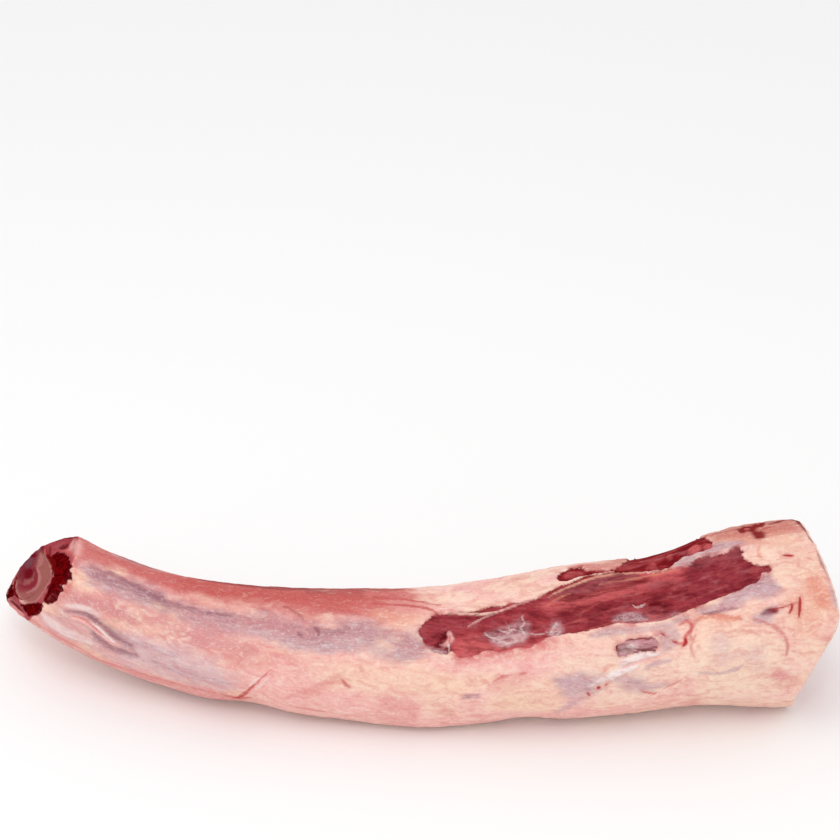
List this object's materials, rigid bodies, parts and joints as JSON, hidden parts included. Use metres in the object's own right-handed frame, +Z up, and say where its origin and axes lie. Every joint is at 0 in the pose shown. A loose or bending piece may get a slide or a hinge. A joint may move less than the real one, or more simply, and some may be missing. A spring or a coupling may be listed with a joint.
{
  "type": "raw oxtail",
  "caption": "Whole raw skinned oxtail: a curved, tapering length of red meat, fat and silver membrane round a tail bone that shows as a disc at each cut end.",
  "frame": {"origin": "middle of the bounding box in plan, on the surface that the tail lies on", "axes": "+X from the thin end towards the thick end, +Z up, +Y away from the side that shows in the picture"},
  "size_m": [0.4166, 0.1166, 0.0839],
  "materials": {
    "flesh": "moist raw meat, fat and silver membrane",
    "bone": "moist cut bone and cartilage"
  },
  "bodies": {
    "root": {"oxtail_flesh": "flesh", "oxtail_bone": "bone"}
  },
  "joints": []
}
